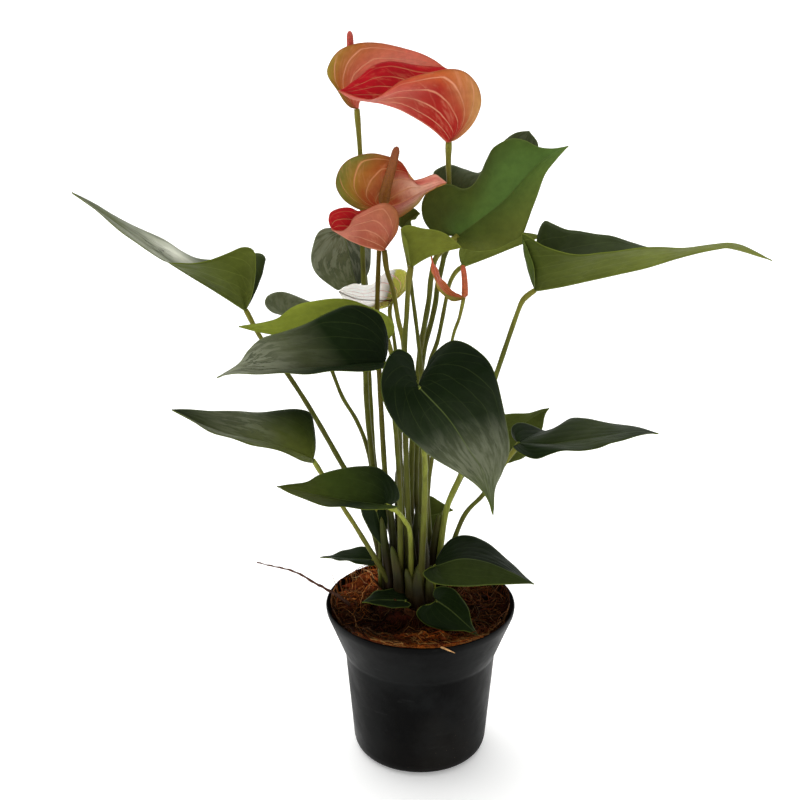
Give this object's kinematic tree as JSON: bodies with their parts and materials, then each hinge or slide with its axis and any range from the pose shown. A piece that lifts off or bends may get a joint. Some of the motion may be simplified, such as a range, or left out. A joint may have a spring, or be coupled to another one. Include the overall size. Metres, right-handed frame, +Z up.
{
  "type": "potted anthurium",
  "caption": "Potted anthurium: heart-shaped leaves and two-tone spathes on thin upright stems, rising from a crown in a round tapered nursery pot.",
  "frame": {"origin": "centre of the pot's flat underside, where the plant rests", "axes": "+Z up along the axis of the pot, +X to the right and +Y away from the front, the side that shows the most flowers"},
  "size_m": [0.4013, 0.1973, 0.4479],
  "materials": {
    "pot": "thin injection-moulded nursery pot plastic, near black, slightly glossy",
    "soil": "coarse coir and bark planting mix, red-brown",
    "crown": "knotted stem base with dry papery brown scales",
    "twig": "dry brown root or twig",
    "leaf": "leathery, waxy dark green with light veins",
    "young_leaf": "thin waxy yellow-green",
    "petiole": "smooth fleshy olive-green stem",
    "spathe": "waxy salmon and red with green edges",
    "pale_spathe": "waxy cream-pink with red veins",
    "peduncle": "smooth fleshy olive-green stem",
    "spadix": "matt, finely bumped spike, orange-brown"
  },
  "bodies": {
    "root": {"crown": "crown", "leaf_front_heart": "leaf", "leaf_front_left": "leaf", "leaf_hanging_back": "leaf", "leaf_left_back": "leaf", "leaf_left_low": "leaf", "leaf_left_middle": "leaf", "leaf_left_top": "leaf", "leaf_left_young": "young_leaf", "leaf_right_back": "leaf", "leaf_right_low": "leaf", "leaf_right_middle": "leaf", "leaf_right_top": "leaf", "leaf_small_back": "leaf", "leaf_small_centre": "leaf", "leaf_small_right": "leaf", "leaf_tiny_front": "leaf", "leaf_tiny_hanging": "leaf", "leaf_tiny_left": "leaf", "leaf_tiny_right": "leaf", "leaf_tiny_soil": "leaf", "leaf_top_back": "leaf", "leaf_top_right": "leaf", "peduncle_bud": "peduncle", "peduncle_front_small": "peduncle", "peduncle_middle": "peduncle", "peduncle_pale": "peduncle", "peduncle_top_left": "peduncle", "peduncle_top_right": "peduncle", "petiole_front_heart": "petiole", "petiole_front_left": "petiole", "petiole_hanging_back": "petiole", "petiole_left_back": "petiole", "petiole_left_low": "petiole", "petiole_left_middle": "petiole", "petiole_left_top": "petiole", "petiole_left_young": "petiole", "petiole_right_back": "petiole", "petiole_right_low": "petiole", "petiole_right_middle": "petiole", "petiole_right_top": "petiole", "petiole_small_centre": "petiole", "petiole_small_right": "petiole", "petiole_top_back": "petiole", "petiole_top_right": "petiole", "pot": "pot", "soil": "soil", "spadix_bud": "spadix", "spadix_front_small": "spadix", "spadix_middle": "spadix", "spadix_pale": "spadix", "spadix_top_left": "spadix", "spadix_top_right": "spadix", "spathe_bud": "spathe", "spathe_front_small": "spathe", "spathe_middle": "spathe", "spathe_pale": "pale_spathe", "spathe_top_left": "spathe", "spathe_top_right": "spathe", "twig": "twig"}
  },
  "joints": []
}
